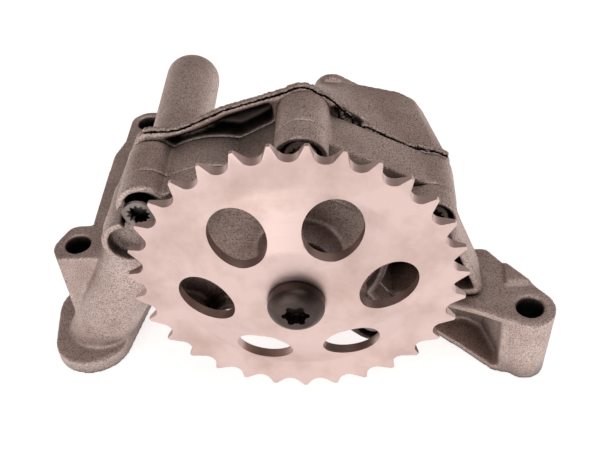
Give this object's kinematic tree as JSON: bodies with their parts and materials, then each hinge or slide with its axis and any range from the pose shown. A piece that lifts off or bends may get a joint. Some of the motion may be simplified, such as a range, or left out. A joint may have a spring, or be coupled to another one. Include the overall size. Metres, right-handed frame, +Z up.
{
  "type": "engine oil pump",
  "caption": "Chain-driven engine oil pump: bolted castings round a meshed gear pair, with a dished drive sprocket and a sprung relief valve.",
  "frame": {"origin": "on the drive shaft's axis, in the middle plane of the sprocket's teeth", "axes": "+X to the right seen from the sprocket, +Y along the shaft away from the sprocket, +Z up from the mounting face"},
  "size_m": [0.1679, 0.1191, 0.1023],
  "materials": {
    "casting": "as cast, matte with fine sand speckle",
    "sprocket_steel": "satin, slightly scratched",
    "bolt_steel": "dark phosphated",
    "machined_steel": "ground",
    "gear_steel": "sintered, matte",
    "spring_steel": "drawn wire",
    "bronze": "machined",
    "seal_rubber": "matte"
  },
  "bodies": {
    "pump_body": {"front_cover": "casting", "gear_housing": "casting", "rear_housing": "casting", "idler_shaft": "machined_steel", "front_shaft_bush": "bronze", "rear_shaft_bush": "bronze", "relief_spring": "spring_steel", "relief_spring_seat": "machined_steel", "relief_valve_seat": "machined_steel", "cover_screws": "bolt_steel", "housing_dowels": "machined_steel", "outlet_seal": "seal_rubber", "inlet_seal": "seal_rubber"},
    "drive_rotor": {"drive_shaft": "machined_steel", "drive_sprocket": "sprocket_steel", "sprocket_bolt": "bolt_steel", "drive_gear": "gear_steel", "drive_gear_key": "machined_steel"},
    "driven_rotor": {"driven_gear": "gear_steel", "driven_gear_bush": "bronze"},
    "relief_plunger": {"relief_piston": "machined_steel"}
  },
  "joints": [
    {"name": "drive_spin", "type": "hinge", "parent": "pump_body", "child": "drive_rotor", "pos_m": [0, 0, 0], "axis": [0, 1, 0], "continuous": true},
    {"name": "driven_spin", "type": "hinge", "parent": "pump_body", "child": "driven_rotor", "pos_m": [-0.02588, 0.0224, 0.00249], "axis": [0, 1, 0], "continuous": true},
    {"name": "relief_slide", "type": "slide", "parent": "pump_body", "child": "relief_plunger", "axis": [0, 1, 0], "range_m": [0, 0.008], "stiffness_N_per_m": 4000, "springref_m": -0.012, "deforming": ["relief_spring"]}
  ],
  "couplings": [
    {"joint": "driven_spin", "follows": "drive_spin", "ratio": -1}
  ]
}
